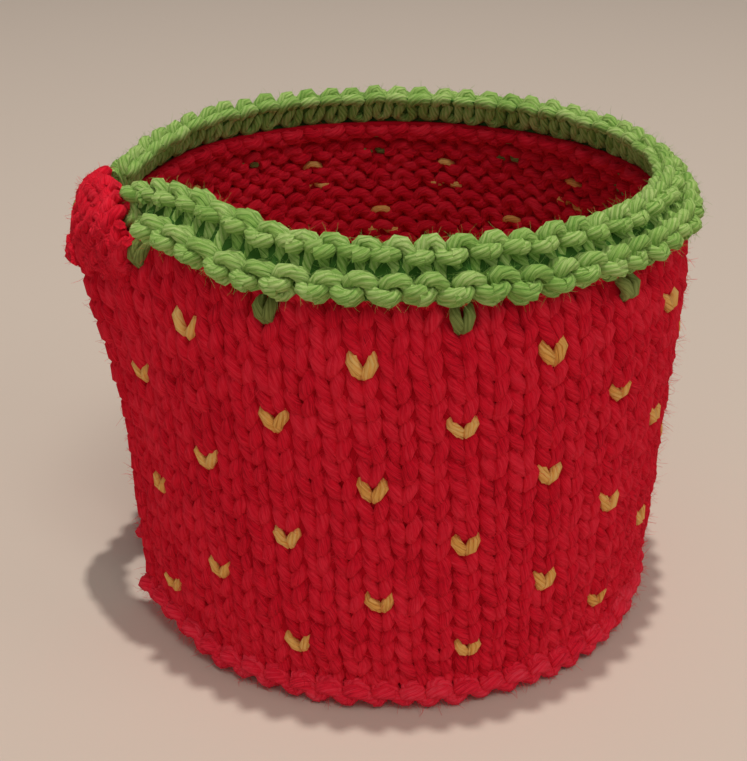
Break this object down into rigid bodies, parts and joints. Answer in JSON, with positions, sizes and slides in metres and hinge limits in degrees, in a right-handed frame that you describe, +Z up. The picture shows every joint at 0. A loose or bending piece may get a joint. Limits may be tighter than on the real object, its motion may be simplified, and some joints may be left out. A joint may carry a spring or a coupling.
{
  "type": "mug cosy",
  "caption": "Knitted mug cosy: red wrap-round panel with scattered seed stitches, leaning green garter collar, and a strap that closes it above a slot for the handle.",
  "frame": {"origin": "on the table under the middle of the cosy's bounding box; the mug's axis stands 3.2 mm towards +X of it", "axes": "+Z up from the hem to the collar, -X towards the handle slot and strap, -Y towards the side that shows in the picture"},
  "size_m": [0.1078, 0.0972, 0.0835],
  "materials": {
    "red_yarn": "matte fuzzy knit",
    "green_yarn": "matte plied yarn",
    "yellow_yarn": "matte plied yarn"
  },
  "bodies": {
    "root": {"body_panel": "red_yarn", "collar": "green_yarn", "handle_strap": "red_yarn"}
  },
  "joints": []
}
